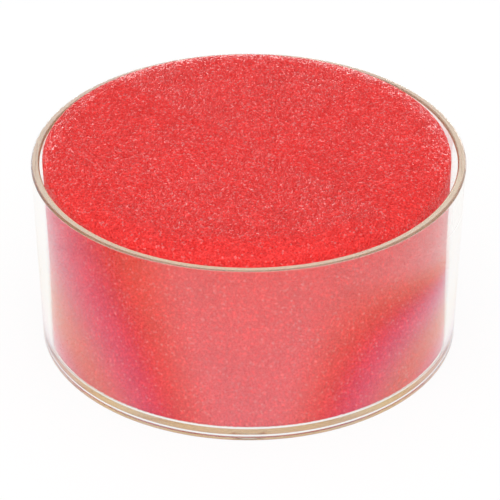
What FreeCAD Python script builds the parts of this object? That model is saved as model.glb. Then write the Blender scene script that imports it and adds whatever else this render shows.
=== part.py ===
"""Round sponge cup: a clear moulded cup and the foam sponge disc that stands in it.

Sizes are in millimetres and angles in degrees. The origin is the centre of the
foot ring's underside, where the cup meets the table, and +Z is up.
"""

import FreeCAD, Part
import math
import os

# Cup: one thin-walled moulding, wider at the rim so that it leaves its mould
RIM_DIAMETER = 82.5
CUP_HEIGHT = 37.5
WALL = 1.6
DRAFT = 1.2
FLOOR = 1.4
RIM_EDGE = 0.5
BASE_EDGE = 0.6
INNER_CORNER = 0.8

# Underside of the cup: a foot ring, the recess inside it and the moulding gate's dimple
FOOT_RING = 2.6
RECESS = 0.4
RECESS_EDGE = 0.15
GATE_DIAMETER = 5.0
GATE_DEPTH = 0.3

# Sponge: a cut foam disc that stands on the floor and rises a little over the rim
SPONGE_FOOT_GAP = 0.4
SPONGE_TOP_GAP = 0.85
SPONGE_PROUD = 2.85
SPONGE_CROWN = 1.55
SPONGE_ROLL = 3.65
SPONGE_WAIST = 0.4
SPONGE_EDGE = 1.5

# An edge or bend is rounded over at most this share of the wall or side that it ends
ROUND_SHARE = 0.45


def outer_radius(height):
    """Radius of the cup's outer wall at a height above the table."""
    return RIM_DIAMETER / 2 - (CUP_HEIGHT - height) * math.tan(math.radians(DRAFT))


def inner_radius(height):
    """Radius of the cup's inner wall, one wall thickness inside the outer one."""
    return outer_radius(height) - WALL / math.cos(math.radians(DRAFT))


def floor_top():
    """Height of the cup's inner floor, on which the sponge stands."""
    return RECESS + FLOOR


def at(radius, height):
    """A point of a turned outline, in the XZ half plane."""
    return FreeCAD.Vector(radius, 0, height)


def corner_arc(before, corner, after, radius):
    """Start, middle and end of the arc that rounds a corner, tangent to both its sides."""
    to_before = (before - corner).normalize()
    to_after = (after - corner).normalize()
    inward = (to_before + to_after).normalize()
    half_angle = to_before.getAngle(to_after) / 2
    reach = radius / math.tan(half_angle)
    depth = radius / math.sin(half_angle) - radius
    return corner + to_before * reach, corner + inward * depth, corner + to_after * reach


def bend_radius(before, corner, after):
    """Radius of the wide arc that rounds a slight bend over a share of its shorter side."""
    to_before = before - corner
    to_after = after - corner
    reach = ROUND_SHARE * min(to_before.Length, to_after.Length)
    return reach * math.tan(to_before.getAngle(to_after) / 2)


def rounded_outline(corners):
    """Closed wire through (point, radius) corners, with an arc wherever the radius is above 0."""
    points = [point for point, _ in corners]
    before = points[-1:] + points[:-1]
    after = points[1:] + points[:1]
    arcs = [corner_arc(before[i], point, after[i], radius) for i, (point, radius) in enumerate(corners)]
    next_arcs = arcs[1:] + arcs[:1]
    edges = []
    for (_, radius), arc, next_arc in zip(corners, arcs, next_arcs):
        if radius > 0:
            edges.append(Part.Arc(*arc).toShape())
        edges.append(Part.LineSegment(arc[-1], next_arc[0]).toShape())
    return Part.Wire(edges)


def turned(wire):
    """Solid made by turning a closed outline once round the Z axis."""
    return Part.Face(wire).revolve(FreeCAD.Vector(), FreeCAD.Vector(0, 0, 1), 360)


def make_cup():
    """The moulding: gate dimple, recess, foot ring, outer wall, rim, inner wall and floor."""
    foot_inside = outer_radius(0) - FOOT_RING
    gate_roof = RECESS + GATE_DEPTH
    gate_radius = GATE_DIAMETER / 2
    rim_edge = min(RIM_EDGE, ROUND_SHARE * WALL)
    recess_edge = min(RECESS_EDGE, ROUND_SHARE * RECESS)
    return turned(rounded_outline([
        (at(0, gate_roof), 0),
        (at(gate_radius - GATE_DEPTH, gate_roof), 0),
        (at(gate_radius, RECESS), 0),
        (at(foot_inside, RECESS), recess_edge),
        (at(foot_inside, 0), recess_edge),
        (at(outer_radius(0), 0), BASE_EDGE),
        (at(outer_radius(CUP_HEIGHT), CUP_HEIGHT), rim_edge),
        (at(inner_radius(CUP_HEIGHT), CUP_HEIGHT), rim_edge),
        (at(inner_radius(floor_top()), floor_top()), INNER_CORNER),
        (at(0, floor_top()), 0),
    ]))


def make_sponge():
    """The foam disc: flat foot, sides drawn in at the waist, and a low crown that rolls off."""
    foot = floor_top()
    crown = CUP_HEIGHT + SPONGE_PROUD
    shoulder = crown - SPONGE_CROWN
    foot_corner = at(inner_radius(foot) - SPONGE_FOOT_GAP, foot)
    top_corner = at(inner_radius(CUP_HEIGHT) - SPONGE_TOP_GAP, shoulder)
    waist = (foot_corner + top_corner) / 2 - at(SPONGE_WAIST, 0)
    crown_edge = at(top_corner.x - SPONGE_ROLL, crown)
    crown_centre = at(0, crown)
    return turned(rounded_outline([
        (at(0, foot), 0),
        (foot_corner, INNER_CORNER + SPONGE_FOOT_GAP),
        (waist, bend_radius(foot_corner, waist, top_corner)),
        (top_corner, SPONGE_EDGE),
        (crown_edge, bend_radius(top_corner, crown_edge, crown_centre)),
        (crown_centre, 0),
    ]))


def main():
    os.makedirs("parts", exist_ok=True)
    for name, shape in {"cup": make_cup(), "sponge": make_sponge()}.items():
        shape.exportStep(f"parts/{name}.step")


main()
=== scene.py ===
# %% [markdown]
# # A clear cup with a foam sponge
#
# The object is a round moulded cup of clear plastic with a disc of red foam standing in it.
# This lesson dresses a finished engineering model: the sizes come from that model, called the
# frame, and each piece made here takes the place of one of its solids. Two things make the
# picture: light that bends and bounces inside clear plastic, and foam that is rough all the
# way down to its half-millimetre cells.

# %% Load the frame
import math

import bpy
import numpy as np
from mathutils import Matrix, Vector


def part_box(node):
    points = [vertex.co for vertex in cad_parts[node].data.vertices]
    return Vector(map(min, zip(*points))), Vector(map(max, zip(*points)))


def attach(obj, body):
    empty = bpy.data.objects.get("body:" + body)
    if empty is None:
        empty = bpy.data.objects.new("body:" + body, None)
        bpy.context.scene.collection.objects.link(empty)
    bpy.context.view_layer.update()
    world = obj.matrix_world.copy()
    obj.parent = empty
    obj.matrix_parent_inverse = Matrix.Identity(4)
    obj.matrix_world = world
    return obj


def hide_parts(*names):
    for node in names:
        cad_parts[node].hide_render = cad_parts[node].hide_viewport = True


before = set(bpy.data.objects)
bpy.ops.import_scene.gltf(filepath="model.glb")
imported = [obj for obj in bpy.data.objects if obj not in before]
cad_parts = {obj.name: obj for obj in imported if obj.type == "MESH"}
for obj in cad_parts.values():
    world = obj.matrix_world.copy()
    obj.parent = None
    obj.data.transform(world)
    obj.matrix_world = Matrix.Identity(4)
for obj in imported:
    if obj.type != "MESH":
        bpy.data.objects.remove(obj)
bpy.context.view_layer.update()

MM = 0.001
cup_low, cup_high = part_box("cup")
sponge_low, sponge_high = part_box("sponge")
rim_radius = (cup_high.x - cup_low.x) / 2
cup_height = cup_high.z
floor_top = sponge_low.z
sponge_top = sponge_high.z
print(f"cup {2 * rim_radius / MM:.1f} mm across and {cup_height / MM:.1f} mm high")
print(f"sponge from {floor_top / MM:.1f} to {sponge_top / MM:.1f} mm above the table")

# %% [markdown]
# ## Outlines
#
# Both pieces are round, so each is one outline turned about the upright axis. Blender could do
# that with a Screw or Spin tool, but an outline worked out with numpy keeps every rounding exact.
# Each corner is given as a point and a rounding, and the rounding becomes an arc that touches
# both sides. Straight runs get an extra point close to each end: smooth shading averages the
# directions of neighbouring faces, and those points keep the averaging out of the flat stretch.

# %% Outline through rounded corners
ARC_STEPS = 8
HOLD = 0.06 * MM


def unit(vector):
    """A vector scaled to length 1."""
    return vector / np.linalg.norm(vector)


def corner_points(before, corner, after, rounding):
    """Arc of ARC_STEPS steps that touches both sides of a corner.

    With half the angle between the sides called a, the arc's centre lies rounding / sin(a) from
    the corner along the bisector, and its ends lie rounding / tan(a) along the sides. The points
    between swing evenly from one end to the other about the centre.
    """
    to_before, to_after = unit(before - corner), unit(after - corner)
    half = math.acos(float(np.clip(to_before @ to_after, -1, 1))) / 2
    centre = corner + unit(to_before + to_after) * rounding / math.sin(half)
    first = corner + to_before * rounding / math.tan(half) - centre
    last = corner + to_after * rounding / math.tan(half) - centre
    swing = math.pi - 2 * half
    t = np.linspace(0, 1, ARC_STEPS + 1)[:, None]
    return centre + (np.sin((1 - t) * swing) * first + np.sin(t * swing) * last) / math.sin(swing)


def run_points(start, end, step):
    """Points between two ends, one HOLD away from each end and the rest about a step apart."""
    length = np.linalg.norm(end - start)
    if length < 3 * HOLD:
        return np.empty((0, 2))
    count = max(2, round(length / step) + 1)
    along = np.linspace(HOLD, length - HOLD, count)[:, None]
    return start + unit(end - start) * along


def outline(corners, step):
    """Open outline of (radius, height) points through (radius, height, rounding) corners."""
    corners = np.array(corners, float)
    points = corners[:, :2]
    arcs = [points[:1]]
    for index in range(1, len(corners) - 1):
        rounding = corners[index, 2]
        around = points[index - 1 : index + 2]
        arcs.append(corner_points(*around, rounding) if rounding > 0 else points[index : index + 1])
    arcs.append(points[-1:])
    pieces = [arcs[0]]
    for arc, next_arc in zip(arcs, arcs[1:]):
        pieces += [run_points(arc[-1], next_arc[0], step), next_arc]
    return np.concatenate(pieces)


def lengths_along(profile):
    """Distance from an outline's first point to each of its points, measured along it."""
    steps = np.linalg.norm(np.diff(profile, axis=0), axis=1)
    return np.concatenate([[0], np.cumsum(steps)])


# %% [markdown]
# ## Turning arrays into a mesh
#
# A piece is a list of points, a list of faces, and for each face corner a place on a flat map.
# The map is what a texture bake draws on when the model leaves Blender. Writing whole arrays
# with `foreach_set` is much quicker than adding points one by one.

# %% Mesh from arrays
BAKE_MAP = "OFBake"


def make_piece(name, points, faces, corner_map):
    """Smooth mesh object at the origin from points, faces and (u, v) at every face corner."""
    mesh = bpy.data.meshes.new(name)
    mesh.from_pydata(points, [], faces)
    flat_map = mesh.uv_layers.new(name=BAKE_MAP)
    flat_map.data.foreach_set("uv", np.ascontiguousarray(corner_map, float).ravel())
    mesh.shade_smooth()
    mesh.update()
    piece = bpy.data.objects.new(name, mesh)
    bpy.context.scene.collection.objects.link(piece)
    print(f"{name}: {len(mesh.vertices)} points, {len(mesh.polygons)} faces")
    return piece


# %% [markdown]
# ## The cup
#
# The real cup is one injection moulding of clear styrene: a wall that leans out a little so that
# it leaves its mould, a flat rim with softened edges, and a floor that stands on a foot ring. The
# middle of the underside keeps the dimple where the plastic flowed in. For clear plastic both
# faces of the wall matter, because light bends at each of them, so the outline runs right round:
# under the floor, up the outside, over the rim and down the inside.

# %% Cup outline
WALL = 1.6 * MM
DRAFT = math.radians(1.2)
RIM_EDGE = 0.5 * MM
BASE_EDGE = 0.3 * MM
INNER_CORNER = 0.8 * MM
FOOT_RING = 2.6 * MM
RECESS = 0.4 * MM
RECESS_EDGE = 0.15 * MM
GATE_RADIUS = 2.5 * MM
GATE_DEPTH = 0.3 * MM
GATE_EDGE = 0.15 * MM
CUP_STEP = 2.5 * MM


def outer_radius(height):
    """Outer wall's radius at a height: the rim's, less the lean of the wall below it."""
    return rim_radius - (cup_height - height) * math.tan(DRAFT)


def inner_radius(height):
    """Inner wall's radius at a height, one wall thickness inside the outer wall."""
    return outer_radius(height) - WALL / math.cos(DRAFT)


cup_outline = outline(
    [
        (0, RECESS + GATE_DEPTH, 0),
        (GATE_RADIUS - GATE_DEPTH, RECESS + GATE_DEPTH, GATE_EDGE),
        (GATE_RADIUS, RECESS, GATE_EDGE),
        (outer_radius(0) - FOOT_RING, RECESS, RECESS_EDGE),
        (outer_radius(0) - FOOT_RING, 0, RECESS_EDGE),
        (outer_radius(0), 0, BASE_EDGE),
        (outer_radius(cup_height), cup_height, RIM_EDGE),
        (inner_radius(cup_height), cup_height, RIM_EDGE),
        (inner_radius(floor_top), floor_top, INNER_CORNER),
        (0, floor_top, 0),
    ],
    CUP_STEP,
)
print(f"cup outline of {len(cup_outline)} points")

# %% Cup surface
CUP_COLUMNS = 360


def turned_surface(profile, columns):
    """Outline turned about Z: point (r, z) at angle t is (r cos t, r sin t, z).

    The first and last outline points lie on the axis and stay single. Each pair of neighbouring
    rings is joined by quads, and each end by a fan of triangles.
    """
    rings = profile[1:-1]
    turn = np.arange(columns) / columns
    angle = 2 * np.pi * turn
    x = rings[:, :1] * np.cos(angle)
    y = rings[:, :1] * np.sin(angle)
    z = np.broadcast_to(rings[:, 1:], x.shape)
    ring_points = np.stack([x, y, z], -1).reshape(-1, 3)
    poles = [(0, 0, profile[0, 1]), (0, 0, profile[-1, 1])]
    points = np.concatenate([ring_points, poles])
    index = np.arange(len(ring_points)).reshape(len(rings), columns)
    after = np.roll(index, -1, axis=1)
    quads = np.stack([index[:-1], after[:-1], after[1:], index[1:]], -1).reshape(-1, 4)
    first_pole, last_pole = len(points) - 2, len(points) - 1
    first_fan = np.stack([np.full(columns, first_pole), after[0], index[0]], -1)
    last_fan = np.stack([index[-1], after[-1], np.full(columns, last_pole)], -1)
    return points, quads.tolist() + first_fan.tolist() + last_fan.tolist()


def turned_map(profile, columns):
    """Flat map that unrolls the turn, for the faces of turned_surface in their order.

    The share of the turn is u, and the share of the outline's length is v.
    """
    u = np.arange(columns) / columns
    u_after = u + 1 / columns
    length = lengths_along(profile)
    v = length / length[-1]
    low, high = v[1:-2, None] + 0 * u, v[2:-1, None] + 0 * u
    u_low, u_high = np.broadcast_to(u, low.shape), np.broadcast_to(u_after, low.shape)
    quad_map = np.stack([u_low, low, u_high, low, u_high, high, u_low, high], -1).reshape(-1, 2)
    middle = (u + u_after) / 2
    ones = np.ones(columns)
    first_map = np.stack([middle, 0 * ones, u_after, v[1] * ones, u, v[1] * ones], -1)
    last_map = np.stack([u, v[-2] * ones, u_after, v[-2] * ones, middle, ones], -1)
    return np.concatenate([quad_map, first_map.reshape(-1, 2), last_map.reshape(-1, 2)])


cup_points, cup_faces = turned_surface(cup_outline, CUP_COLUMNS)
cup = make_piece("clear_cup", cup_points, cup_faces, turned_map(cup_outline, CUP_COLUMNS))
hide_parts("cup")
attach(cup, "cup")

# %% [markdown]
# ## The sponge
#
# The sponge is a disc cut from a block of open-cell foam. A knife bows soft foam as it cuts, so
# the sides draw in a little, and the top edge rolls over. Its outline is turned like the cup's,
# but the points must be spread evenly, because the pores are real dents in the mesh. A turned
# disc crowds its points at the middle, so the top is a square grid carried onto a disc instead,
# and its edge hands over to a strip that wraps the side.

# %% Sponge outline
FOOT_GAP = 0.12 * MM
TOP_GAP = 0.85 * MM
CROWN = 1.55 * MM
ROLL = 3.65 * MM
WAIST = 0.4 * MM
TOP_EDGE = 1.5 * MM
FOOT_EDGE = 0.8 * MM
LIFT = 0.06 * MM
BEND = 0.45
SPONGE_STEP = 1.0 * MM


def bend_rounding(before, corner, after):
    """Rounding that spreads a slight bend over the share BEND of its shorter side."""
    to_before, to_after = np.subtract(before, corner), np.subtract(after, corner)
    shorter = min(np.linalg.norm(to_before), np.linalg.norm(to_after))
    half = math.acos(float(unit(to_before) @ unit(to_after))) / 2
    return BEND * shorter * math.tan(half)


foot_corner = (inner_radius(floor_top) - FOOT_GAP, floor_top + LIFT)
top_corner = (inner_radius(cup_height) - TOP_GAP, sponge_top - CROWN)
waist = ((foot_corner[0] + top_corner[0]) / 2 - WAIST, (foot_corner[1] + top_corner[1]) / 2)
crown_edge = (top_corner[0] - ROLL, sponge_top)
sponge_outline = outline(
    [
        (0, sponge_top, 0),
        (*crown_edge, bend_rounding((0, sponge_top), crown_edge, top_corner)),
        (*top_corner, TOP_EDGE),
        (*waist, bend_rounding(top_corner, waist, foot_corner)),
        (*foot_corner, FOOT_EDGE),
        (0, floor_top + LIFT, 0),
    ],
    SPONGE_STEP,
)
outline_length = lengths_along(sponge_outline)
print(f"sponge outline of {len(sponge_outline)} points, {outline_length[-1] / MM:.1f} mm long")

# %% Places along the sponge's outline
ROUND_OFF = 1e-9


def along_outline(distance):
    """Radius, height and outward (radius, height) direction at a distance along the outline.

    The outward direction is the outline's own direction turned a quarter turn: (dr, dz) becomes
    (-dz, dr), scaled to length 1.
    """
    radius = np.interp(distance, outline_length, sponge_outline[:, 0])
    height = np.interp(distance, outline_length, sponge_outline[:, 1])
    slope = np.gradient(sponge_outline, outline_length, axis=0)
    out_radius = -np.interp(distance, outline_length, slope[:, 1])
    out_height = np.interp(distance, outline_length, slope[:, 0])
    size = np.hypot(out_radius, out_height)
    return radius, height, out_radius / size, out_height / size


past_top_edge = int(np.argmax(sponge_outline[:, 1] < sponge_top - CROWN - TOP_EDGE))
past_foot_edge = int(np.argmax(sponge_outline[:, 1] <= floor_top + LIFT + ROUND_OFF))
top_reach = outline_length[past_top_edge]
side_reach = outline_length[past_foot_edge]
print(f"sponge top reaches {top_reach / MM:.1f} mm along it, side {side_reach / MM:.1f} mm")

# %% Sponge grid
TOP_SIDE = 360
SIDE_STEP = 0.3 * MM
FOOT_RINGS = 10


def disc_grid(side):
    """Square grid carried onto the unit disc.

    The larger of a point's two grid coordinates becomes its signed radius, and the ratio of the
    smaller to the larger becomes its angle, an eighth of a turn either side of that axis. The
    spacing stays nearly even, and the grid's border becomes the disc's edge in equal steps.
    """
    x, y = np.meshgrid(np.linspace(-1, 1, side), np.linspace(-1, 1, side))
    wide = np.abs(x) > np.abs(y)
    radius = np.where(wide, x, y)
    ratio = np.where(wide, y, x) / np.where(radius == 0, 1, radius)
    angle = np.where(wide, np.pi / 4 * ratio, np.pi / 2 - np.pi / 4 * ratio)
    return radius * np.cos(angle), radius * np.sin(angle)


def border(grid):
    """A square grid's border values in order, anticlockwise from its first row's last entry."""
    return np.concatenate([grid[:-1, -1], grid[-1, :0:-1], grid[:0:-1, 0], grid[0, :-1]])


disc_x, disc_y = disc_grid(TOP_SIDE)
top_distance = np.hypot(disc_x, disc_y) * top_reach
top_angle = np.arctan2(disc_y, disc_x)
edge_angle = np.arctan2(border(disc_y), border(disc_x))
edge_count = len(edge_angle)
side_rows = round((side_reach - top_reach) / SIDE_STEP)
side_distance = np.linspace(top_reach, side_reach, side_rows + 1)[1:]
foot_share = np.linspace(0, 1, FOOT_RINGS + 1)[1:-1]
foot_distance = side_reach + (outline_length[-1] - side_reach) * foot_share
row_distance = np.concatenate([side_distance, foot_distance])
strip_distance = np.repeat(row_distance, edge_count)
strip_angle = np.tile(edge_angle, len(row_distance))

distance = np.concatenate([top_distance.ravel(), strip_distance, outline_length[-1:]])
angle = np.concatenate([top_angle.ravel(), strip_angle, [0.0]])
radius, height, out_radius, out_height = along_outline(distance)
smooth_points = np.stack([radius * np.cos(angle), radius * np.sin(angle), height], -1)
outward = np.stack([out_radius * np.cos(angle), out_radius * np.sin(angle), out_height], -1)
print(f"sponge grid of {len(smooth_points)} points, {edge_count} round the edge")

# %% Sponge faces
top_index = np.arange(TOP_SIDE**2).reshape(TOP_SIDE, TOP_SIDE)
strip_index = TOP_SIDE**2 + np.arange(len(strip_distance)).reshape(-1, edge_count)
rows = np.concatenate([border(top_index)[None], strip_index])
rows_after = np.roll(rows, -1, axis=1)
pole = len(smooth_points) - 1

left, right = top_index[:, :-1], top_index[:, 1:]
top_faces = np.stack([left[:-1], right[:-1], right[1:], left[1:]], -1).reshape(-1, 4)
strip_faces = np.stack([rows[1:], rows_after[1:], rows_after[:-1], rows[:-1]], -1).reshape(-1, 4)
foot_fan = np.stack([np.full(edge_count, pole), rows_after[-1], rows[-1]], -1)
sponge_faces = top_faces.tolist() + strip_faces.tolist() + foot_fan.tolist()
print(f"sponge faces: {len(top_faces)} on top, {len(strip_faces)} round the side and foot")

# %% Sponge flat map
MAP_DISC = 0.24
TOP_MAP_CENTRE = (0.25, 0.75)
FOOT_MAP_CENTRE = (0.75, 0.75)
STRIP_MAP_HEIGHT = 0.5


def disc_map(points, centre):
    """Flat map of points seen from above, as a disc about a centre on the map."""
    return np.array(centre) + MAP_DISC * points[..., :2] / sponge_outline[:, 0].max()


turn = np.linspace(0, 1, edge_count + 1)
row_share = np.concatenate([[0], row_distance - top_reach]) / (row_distance[-1] - top_reach)
row_height = STRIP_MAP_HEIGHT * row_share
v_start, u_start = np.meshgrid(row_height[:-1], turn[:-1], indexing="ij")
v_end, u_end = np.meshgrid(row_height[1:], turn[1:], indexing="ij")
strip_map = np.stack([u_start, v_end, u_end, v_end, u_end, v_start, u_start, v_start], -1)
top_map = disc_map(smooth_points[top_faces], TOP_MAP_CENTRE)
foot_map = disc_map(smooth_points[foot_fan], FOOT_MAP_CENTRE)
sponge_map = np.concatenate([part.reshape(-1, 2) for part in (top_map, strip_map, foot_map)])
print(f"sponge flat map of {len(sponge_map)} face corners")

# %% [markdown]
# ## Pores
#
# Foam is a froth that set: bubbles pressed together until only thin struts are left between
# them. Cell noise draws just that. Scatter one seed point in every box of a lattice, and measure
# from each mesh point to its nearest seed and to the next nearest. Where the two distances are
# equal, two bubbles meet and there is a strut; where they differ most, the point is in the middle
# of a bubble, and the surface is pushed in.

# %% Cell noise
CELL = 0.55 * MM
STRUT_REACH = 0.55
LATTICE = 64
SEED = 20
FAR = 9.0

rng = np.random.default_rng(SEED)
seed_place = rng.random((LATTICE, LATTICE, LATTICE, 3))


def cell_distances(points, cell):
    """Distances, in cells, from each point to its nearest seed and to the next nearest one."""
    scaled = points / cell
    box = np.floor(scaled).astype(int)
    nearest = np.full(len(points), FAR)
    second = np.full(len(points), FAR)
    for offset in np.ndindex(3, 3, 3):
        corner = box + offset - 1
        i, j, k = (corner % LATTICE).T
        gap = np.linalg.norm(corner + seed_place[i, j, k] - scaled, axis=1)
        second = np.minimum(second, np.maximum(nearest, gap))
        nearest = np.minimum(nearest, gap)
    return nearest, second


def smooth_step(value, start, end):
    """0 up to start, 1 from end, and an S-shaped rise between them."""
    t = np.clip((value - start) / (end - start), 0, 1)
    return t * t * (3 - 2 * t)


nearest, second = cell_distances(smooth_points, CELL)
hollow = smooth_step(second - nearest, 0.0, STRUT_REACH)
print(f"pores: mean hollow {hollow.mean():.2f}")

# %% [markdown]
# ## The sponge's surface
#
# The pores are pushed in along the outward direction. A slow swell keeps the soft disc from
# looking machined, and the whole sponge leans a little to one side, as a loose piece does. The
# mesh also keeps how hollow each point is, because the foam's painted pore shade follows it.

# %% Sponge surface
PORE_DEPTH = 0.26 * MM
SWELL = 0.12 * MM
SWELL_SIZE = 13.0 * MM
SWELL_RATE = np.array([1.0, 0.8, 0.6])
SWELL_START = np.array([0.7, 1.9, 0.4])
LEAN = np.array([-0.36, -0.3]) * MM

swell = np.sin(smooth_points / SWELL_SIZE * SWELL_RATE + SWELL_START).prod(axis=1)
depth = PORE_DEPTH * hollow + SWELL * (swell + 1) / 2
points = smooth_points - outward * depth[:, None]
rise = (points[:, 2] - floor_top) / (sponge_top - floor_top)
points[:, :2] += LEAN * rise[:, None]

sponge = make_piece("foam_sponge", points, sponge_faces, sponge_map)
# The hollow share also places the painted shade in the pores.
hollow_values = sponge.data.attributes.new("hollow", "FLOAT", "POINT")
hollow_values.data.foreach_set("value", hollow)
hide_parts("sponge")
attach(sponge, "sponge")

# %% [markdown]
# ## Finishes
#
# A material is a tree of nodes, and a few short helpers keep its script readable. Both finishes
# need a slow, cloudy change over the surface: the foam is not dyed quite evenly, and the polished
# plastic is hazier where it was handled. That shared effect is a node group, built once and
# placed in each material with its own size and strength.


# %% Node helpers
def node(tree, kind, **settings):
    """New node in a tree, with its plain properties set."""
    made = tree.nodes.new(kind)
    for name, value in settings.items():
        setattr(made, name, value)
    return made


def feed(tree, socket, value):
    """Link another node's output to a socket, or set the socket to a plain value."""
    if isinstance(value, bpy.types.NodeSocket):
        tree.links.new(value, socket)
    else:
        socket.default_value = value


def maths(tree, operation, *values):
    """Result of a sum, product, power or the like of outputs and plain numbers."""
    made = node(tree, "ShaderNodeMath", operation=operation)
    for socket, value in zip(made.inputs, values):
        feed(tree, socket, value)
    return made.outputs[0]


def ranged(tree, value, start, end, low=0.0, high=1.0):
    """Value carried from the range start to end onto low to high, and held at its ends."""
    made = node(tree, "ShaderNodeMapRange")
    names = ("Value", "From Min", "From Max", "To Min", "To Max")
    for name, setting in zip(names, (value, start, end, low, high)):
        feed(tree, made.inputs[name], setting)
    return made.outputs["Result"]


def coordinate(tree, place, axis):
    """The X, Y or Z of a place."""
    parts = node(tree, "ShaderNodeSeparateXYZ")
    feed(tree, parts.inputs[0], place)
    return parts.outputs[axis]


def mixed_shaders(tree, share, first, second):
    """Shader that is a share of the way from the first to the second."""
    both = node(tree, "ShaderNodeMixShader")
    for socket, value in zip(both.inputs, (share, first.outputs[0], second.outputs[0])):
        feed(tree, socket, value)
    return both.outputs[0]


def new_material(name):
    """Material with its tree, its Principled shader and an Object coordinate output."""
    material = bpy.data.materials.new(name)
    material.use_nodes = True
    tree = material.node_tree
    shader = tree.nodes["Principled BSDF"]
    place = node(tree, "ShaderNodeTexCoord").outputs["Object"]
    return material, tree, shader, place


# %% Shared cloudiness
CLOUD_DETAIL = 3.0
CLOUD_LOW = 0.3
CLOUD_HIGH = 0.7


def cloudiness_group():
    """Group whose Value is Middle plus or minus Spread, following soft noise of a given Scale."""
    group = bpy.data.node_groups.new("cloudiness", "ShaderNodeTree")
    group.interface.new_socket("Vector", in_out="INPUT", socket_type="NodeSocketVector")
    for name in ("Scale", "Middle", "Spread"):
        group.interface.new_socket(name, in_out="INPUT", socket_type="NodeSocketFloat")
    group.interface.new_socket("Value", in_out="OUTPUT", socket_type="NodeSocketFloat")
    given = node(group, "NodeGroupInput").outputs
    noise = node(group, "ShaderNodeTexNoise")
    noise.inputs["Detail"].default_value = CLOUD_DETAIL
    feed(group, noise.inputs["Vector"], given["Vector"])
    feed(group, noise.inputs["Scale"], given["Scale"])
    low = maths(group, "SUBTRACT", given["Middle"], given["Spread"])
    high = maths(group, "ADD", given["Middle"], given["Spread"])
    value = ranged(group, noise.outputs["Fac"], CLOUD_LOW, CLOUD_HIGH, low, high)
    feed(group, node(group, "NodeGroupOutput").inputs["Value"], value)
    return group


cloudiness = cloudiness_group()


def clouds(tree, place, scale, middle, spread):
    """The shared cloudiness placed in a material, as a value output."""
    group = node(tree, "ShaderNodeGroup", node_tree=cloudiness)
    feed(tree, group.inputs["Vector"], place)
    for name, value in (("Scale", scale), ("Middle", middle), ("Spread", spread)):
        feed(tree, group.inputs[name], value)
    return group.outputs["Value"]


print(f"cloudiness group of {len(cloudiness.nodes)} nodes")

# %% [markdown]
# ### Clear styrene
#
# Clear styrene bends light more than window glass, so its index is 1.59. In thin walls it looks
# colourless, but light that travels the long way, up the wall to the rim or round the base, picks
# up a straw tint. A Volume Absorption node gives that by itself: its tint grows with the distance
# travelled. Very slight waves left by the mould make the reflections wander, and the rim, where
# the mould parted, is less polished than the wall.
#
# Plastic that froze under stress shows purple and orange bands where the wall turns away. The
# Principled shader's thin film makes such colours. Here the film grows with the slant of the ray
# and towards the foot, and it is thinner high on one side.

# %% Clear styrene's stress colours
STYRENE_INDEX = 1.59
STRESS_INDEX = 1.3
STRESS_FILM = 268.0
STRESS_FROM = math.radians(37.5)
STRESS_RISE = 0.75
STRESS_GROWTH = 1.1
STRESS_POWER = 1.5
STRESS_SIDE = 2.4
STRESS_SIDE_POWER = 3.0


def slant(tree):
    """How aslant a ray meets the wall in air: 0 up to the angle STRESS_FROM, 1 when it grazes.

    A ray inside the plastic is bent towards the wall's normal, so there the square of its sine
    is multiplied by the square of the index, which is Snell's law.
    """
    facing = node(tree, "ShaderNodeLayerWeight").outputs["Facing"]
    inside = node(tree, "ShaderNodeNewGeometry").outputs["Backfacing"]
    cosine = maths(tree, "SUBTRACT", 1.0, facing)
    square = maths(tree, "SUBTRACT", 1.0, maths(tree, "MULTIPLY", cosine, cosine))
    bending = ranged(tree, inside, 0.0, 1.0, 1.0, STYRENE_INDEX**2)
    in_air = maths(tree, "MULTIPLY", square, bending)
    return maths(tree, "POWER", ranged(tree, in_air, math.sin(STRESS_FROM) ** 2, 1.0), STRESS_RISE)


def stress_film(tree, place):
    """Film thickness, in nanometres, whose colours stand in for those of the frozen stress.

    It is STRESS_FILM times the slant, times 1 plus STRESS_GROWTH for the drop below the rim,
    times 1 less STRESS_SIDE for the way out to +X, which fades towards the foot.
    """
    across = maths(tree, "DIVIDE", coordinate(tree, place, "X"), rim_radius)
    drop = ranged(tree, coordinate(tree, place, "Z"), cup_height, 0.0)
    lower = maths(tree, "MULTIPLY", maths(tree, "POWER", drop, STRESS_POWER), STRESS_GROWTH)
    aslant = maths(tree, "MULTIPLY", slant(tree), STRESS_FILM)
    main = maths(tree, "MULTIPLY", aslant, maths(tree, "ADD", 1.0, lower))
    one_side = maths(tree, "MULTIPLY", maths(tree, "MAXIMUM", across, 0.0), STRESS_SIDE)
    above = maths(tree, "SUBTRACT", 1.0, drop)
    relief = maths(tree, "MULTIPLY", one_side, maths(tree, "POWER", above, STRESS_SIDE_POWER))
    return maths(tree, "MULTIPLY", main, ranged(tree, relief, 1.0, 0.0))


# %% Clear styrene finish
STYRENE_TINT = (0.665, 0.387, 0.0, 1)
STYRENE_DENSITY = 15.0
WALL_PASS = (0.93, 0.92, 0.9, 1)
POLISH = 0.02
POLISH_SPREAD = 0.015
POLISH_SCALE = 60.0
RIM_ROUGHNESS = 0.2
RIM_BAND = 0.7 * MM
MOULD_WAVE = 0.005 * MM
MOULD_WAVE_SCALE = 90.0
MOULD_WAVE_DETAIL = 1.0


def rim_roughness(tree, place):
    """Roughness that is added within RIM_BAND of the rim's top."""
    start = cup_height - RIM_BAND
    height = coordinate(tree, place, "Z")
    return ranged(tree, height, start, start + RIM_BAND / 2, 0.0, RIM_ROUGHNESS)


def lamps_pass(tree, shader):
    """Shader that is clear to light on its way to a lamp or from the foam, itself otherwise."""
    rays = node(tree, "ShaderNodeLightPath").outputs
    passing = maths(tree, "MAXIMUM", rays["Is Shadow Ray"], rays["Is Diffuse Ray"])
    clear = node(tree, "ShaderNodeBsdfTransparent")
    clear.inputs["Color"].default_value = WALL_PASS
    return mixed_shaders(tree, passing, shader, clear)


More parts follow.
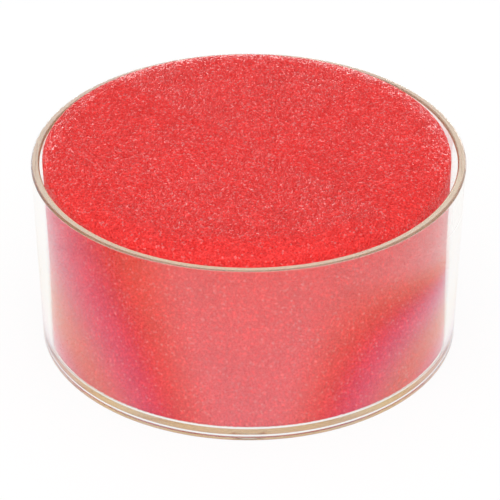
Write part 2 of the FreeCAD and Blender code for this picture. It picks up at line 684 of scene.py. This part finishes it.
def styrene_material():
    """Clear plastic with a straw tint inside, stress colours, and a softer shine on its rim."""
    material, tree, shader, place = new_material("clear_styrene")
    shader.inputs["Base Color"].default_value = (1, 1, 1, 1)
    shader.inputs["Transmission Weight"].default_value = 1.0
    shader.inputs["IOR"].default_value = STYRENE_INDEX
    shader.inputs["Thin Film IOR"].default_value = STRESS_INDEX
    feed(tree, shader.inputs["Thin Film Thickness"], stress_film(tree, place))
    polish = clouds(tree, place, POLISH_SCALE, POLISH, POLISH_SPREAD)
    feed(tree, shader.inputs["Roughness"], maths(tree, "ADD", polish, rim_roughness(tree, place)))
    waves = node(tree, "ShaderNodeTexNoise")
    waves.inputs["Scale"].default_value = MOULD_WAVE_SCALE
    waves.inputs["Detail"].default_value = MOULD_WAVE_DETAIL
    feed(tree, waves.inputs["Vector"], place)
    bump = node(tree, "ShaderNodeBump")
    bump.inputs["Distance"].default_value = MOULD_WAVE
    feed(tree, bump.inputs["Height"], waves.outputs["Fac"])
    feed(tree, shader.inputs["Normal"], bump.outputs["Normal"])
    tint = node(tree, "ShaderNodeVolumeAbsorption")
    tint.inputs["Color"].default_value = STYRENE_TINT
    tint.inputs["Density"].default_value = STYRENE_DENSITY
    output = tree.nodes["Material Output"]
    feed(tree, output.inputs["Surface"], lamps_pass(tree, shader))
    feed(tree, output.inputs["Volume"], tint.outputs["Volume"])
    return material


cup.data.materials.append(styrene_material())
print("cup finish: clear styrene")

# %% [markdown]
# ### Red foam
#
# The red foam's colour carries painted light and shade: the struts are painted lighter, as
# painted light where they stand in the light, and the cells deeper, as painted shade inside them.
# The mesh remembers how hollow each point is, so the painted shade follows the real pores. A finer
# cell texture roughens what the mesh is too coarse to hold, and here and there it leaves a pale
# speck that is partly a cut strut and partly a painted glint. The side is painted a little pinker
# towards the foot, a painted reflection that stands in for the pale veil of the cup's wall. The
# struts are damp, so they have a slight shine.

# %% Red foam finish
# The lighter strut red is painted light and the deeper pore red is painted shade in the cells.
LIT_STRUT_RED = (1.0, 0.033, 0.029, 1)
SHADED_PORE_RED = (0.7, 0.005, 0.004, 1)
FINE_CELL = 0.36 * MM
FINE_DEPTH = 0.16 * MM
FINE_SHARE = 0.8
FINE_PORE = 0.45
FINE_STRUT = 0.85
DYE_SCALE = 140.0
DYE_SPREAD = 0.05
# Painted reflection: pink laid over the lower side in place of the pale veil of the cup's wall.
VEIL_PINK = (1.0, 0.35, 0.6, 1)
VEIL_SHARE = 0.11
# Pale specks: partly pale cut struts, partly painted glints.
PALE_STRUT_GLINT = (1.0, 0.9, 0.88, 1)
GLINT_SPECK_FROM = 0.9
GLINT_SPECK_SHARE = 0.14
FOAM_ROUGHNESS = 0.2
FOAM_SPECULAR = 0.4

# A Mix node has one set of sockets for each kind of value. These are its colours' places.
COLOUR_A = 6
COLOUR_B = 7
COLOUR_RESULT = 2


def blend(tree, share, first, second):
    """Colour that is a share of the way from the first to the second."""
    made = node(tree, "ShaderNodeMix", data_type="RGBA")
    feed(tree, made.inputs["Factor"], share)
    feed(tree, made.inputs[COLOUR_A], first)
    feed(tree, made.inputs[COLOUR_B], second)
    return made.outputs[COLOUR_RESULT]


def lit_strut_share(tree, fine):
    """1 on a strut, as painted light, and 0 in a pore, as painted shade; FINE_SHARE from fine
    cells, the rest the mesh's.
    """
    hollow_here = node(tree, "ShaderNodeAttribute", attribute_name="hollow").outputs["Fac"]
    mesh_strut = maths(tree, "SUBTRACT", 1.0, hollow_here)
    fine_strut = ranged(tree, fine.outputs["Distance"], FINE_PORE, FINE_STRUT)
    strut = node(tree, "ShaderNodeMix", data_type="FLOAT")
    for name, value in (("Factor", FINE_SHARE), ("A", mesh_strut), ("B", fine_strut)):
        feed(tree, strut.inputs[name], value)
    return strut.outputs["Result"]


def foam_material():
    """Red struts as painted light over pores as painted shade, a painted pink veil towards the
    foot, pale specks.
    """
    material, tree, shader, place = new_material("red_foam")
    fine = node(tree, "ShaderNodeTexVoronoi", feature="F1")
    fine.inputs["Scale"].default_value = 1 / FINE_CELL
    feed(tree, fine.inputs["Vector"], place)
    # Painted shade: pores deeper and struts lighter, by how light falls on them, scaled by the
    # dye's slow unevenness.
    dye_and_pore_shade = node(tree, "ShaderNodeVectorMath", operation="SCALE")
    feed(tree, dye_and_pore_shade.inputs[0], blend(tree, lit_strut_share(tree, fine), SHADED_PORE_RED, LIT_STRUT_RED))
    feed(tree, dye_and_pore_shade.inputs["Scale"], clouds(tree, place, DYE_SCALE, 1.0, DYE_SPREAD))
    # Painted reflection: the side is painted pinker towards the foot, standing in for the wall's
    # pale veil over it.
    height = coordinate(tree, place, "Z")
    lower = ranged(tree, height, top_corner[1], floor_top, 0.0, VEIL_SHARE)
    veiled = blend(tree, lower, dye_and_pore_shade.outputs[0], VEIL_PINK)
    # Pale specks in a few fine cells, partly cut struts and partly painted glints.
    chance = node(tree, "ShaderNodeSeparateColor")
    feed(tree, chance.inputs["Color"], fine.outputs["Color"])
    strut_glint = ranged(tree, chance.outputs["Green"], GLINT_SPECK_FROM, 1.0, 0.0, GLINT_SPECK_SHARE)
    feed(tree, shader.inputs["Base Color"], blend(tree, strut_glint, veiled, PALE_STRUT_GLINT))
    bump = node(tree, "ShaderNodeBump")
    bump.inputs["Distance"].default_value = FINE_DEPTH
    feed(tree, bump.inputs["Height"], fine.outputs["Distance"])
    feed(tree, shader.inputs["Normal"], bump.outputs["Normal"])
    shader.inputs["Roughness"].default_value = FOAM_ROUGHNESS
    shader.inputs["Specular IOR Level"].default_value = FOAM_SPECULAR
    return material


sponge.data.materials.append(foam_material())
print("sponge finish: red foam")

# %% [markdown]
# ## Stage and light
#
# The cup stands on a white floor under an even white sky. Clear plastic shows what is around it,
# so floor and sky are plain white wherever the camera looks at them, directly or through the cup.
# A soft lamp in front gives the foam's pores a lit side, and a low strip of light behind glints
# on the sponge's far edge. Light needs many turns to travel round inside the wall, so the number
# of bounces is raised.

# %% Floor
FLOOR_HALF = 3.0
FLOOR_DROP = 0.02 * MM
FLOOR_WHITE = (0.97, 0.97, 0.97, 1)
FLOOR_GLOW = 0.9

square = np.array([(-1, -1, 0), (1, -1, 0), (1, 1, 0), (-1, 1, 0)])
floor_corners = FLOOR_HALF * square - (0, 0, FLOOR_DROP)
floor = make_piece("floor", floor_corners, [(0, 1, 2, 3)], [(0, 0), (1, 0), (1, 1), (0, 1)])


def seen(tree):
    """1 for a ray that ends in the picture: straight from the camera, or by a mirror or glass."""
    rays = node(tree, "ShaderNodeLightPath").outputs
    bent = maths(tree, "MAXIMUM", rays["Is Glossy Ray"], rays["Is Transmission Ray"])
    return maths(tree, "MAXIMUM", rays["Is Camera Ray"], bent)


def floor_material():
    """White floor that takes shadows, mixed with plain white where it is seen."""
    material, tree, shader, _ = new_material("floor_white")
    shader.inputs["Base Color"].default_value = FLOOR_WHITE
    shader.inputs["Roughness"].default_value = 1.0
    shader.inputs["Specular IOR Level"].default_value = 0.0
    white = node(tree, "ShaderNodeEmission")
    share = maths(tree, "MULTIPLY", seen(tree), FLOOR_GLOW)
    surface = mixed_shaders(tree, share, shader, white)
    feed(tree, tree.nodes["Material Output"].inputs["Surface"], surface)
    return material


floor.data.materials.append(floor_material())

# %% Sky
SKY_LIGHT = 0.92
SKY_SEEN = 1.0


def white_sky():
    """World that lights the object with SKY_LIGHT and is SKY_SEEN in the picture."""
    world = bpy.data.worlds.new("white_sky")
    world.use_nodes = True
    tree = world.node_tree
    sky = tree.nodes["Background"]
    sky.inputs["Color"].default_value = (1, 1, 1, 1)
    feed(tree, sky.inputs["Strength"], ranged(tree, seen(tree), 0.0, 1.0, SKY_LIGHT, SKY_SEEN))
    return world


bpy.context.scene.world = white_sky()
print(f"sky that lights with {SKY_LIGHT} and is seen as {SKY_SEEN}")

# %% Lamps and bounces
LAMP_PLACE = (-0.05, -0.62, 0.3)
LAMP_SIZE = 1.2
LAMP_POWER = 3.8
STRIP_PLACE = (0.0, 0.65, 0.045)
STRIP_HEIGHT = 0.05
STRIP_POWER = 1.8
BOUNCES = 200


def add_lamp(name, place, width, height, power):
    """Soft rectangle of light that faces the origin and isn't seen itself."""
    lamp = bpy.data.objects.new(name, bpy.data.lights.new(name, "AREA"))
    lamp.data.shape = "RECTANGLE"
    lamp.data.size = width
    lamp.data.size_y = height
    lamp.data.energy = power
    lamp.location = place
    lamp.rotation_euler = (-lamp.location).to_track_quat("-Z", "Y").to_euler()
    lamp.visible_camera = False
    lamp.visible_transmission = False
    bpy.context.scene.collection.objects.link(lamp)
    print(f"{name}: {power} W")


add_lamp("soft_lamp", LAMP_PLACE, LAMP_SIZE, LAMP_SIZE, LAMP_POWER)
add_lamp("strip_lamp", STRIP_PLACE, LAMP_SIZE, STRIP_HEIGHT, STRIP_POWER)

scene = bpy.context.scene
scene.view_settings.view_transform = "Standard"
scene.cycles.max_bounces = BOUNCES
scene.cycles.transmission_bounces = BOUNCES
scene.cycles.glossy_bounces = BOUNCES

# %% [markdown]
# ## Camera
#
# The camera looks at the middle of the cup from the photograph's height, through a long lens.
# Its distance, height and lens were fitted to the ellipses of the rim and the foot, and the small
# shift sets the cup where the photograph has it in its frame.

# %% Camera
PHOTO_WIDTH = 500
AIM_HEIGHT = 18.56 * MM
AIM_PIXEL = (248.6, 239.1)
CAMERA_DISTANCE = 494.6 * MM
CAMERA_ELEVATION = math.radians(31.94)
CAMERA_LENS = 183.9
SENSOR_WIDTH = 36.0

camera_data = bpy.data.cameras.new("camera")
camera_data.lens = CAMERA_LENS
camera_data.sensor_width = SENSOR_WIDTH
camera_data.shift_x = (PHOTO_WIDTH / 2 - AIM_PIXEL[0]) / PHOTO_WIDTH
camera_data.shift_y = (AIM_PIXEL[1] - PHOTO_WIDTH / 2) / PHOTO_WIDTH
camera = bpy.data.objects.new("camera", camera_data)
camera.location = (
    0,
    -CAMERA_DISTANCE * math.cos(CAMERA_ELEVATION),
    AIM_HEIGHT + CAMERA_DISTANCE * math.sin(CAMERA_ELEVATION),
)
camera.rotation_euler = (math.pi / 2 - CAMERA_ELEVATION, 0, 0)
bpy.context.scene.collection.objects.link(camera)
bpy.context.scene.camera = camera
print(f"camera {CAMERA_DISTANCE / MM:.0f} mm from the cup's middle")
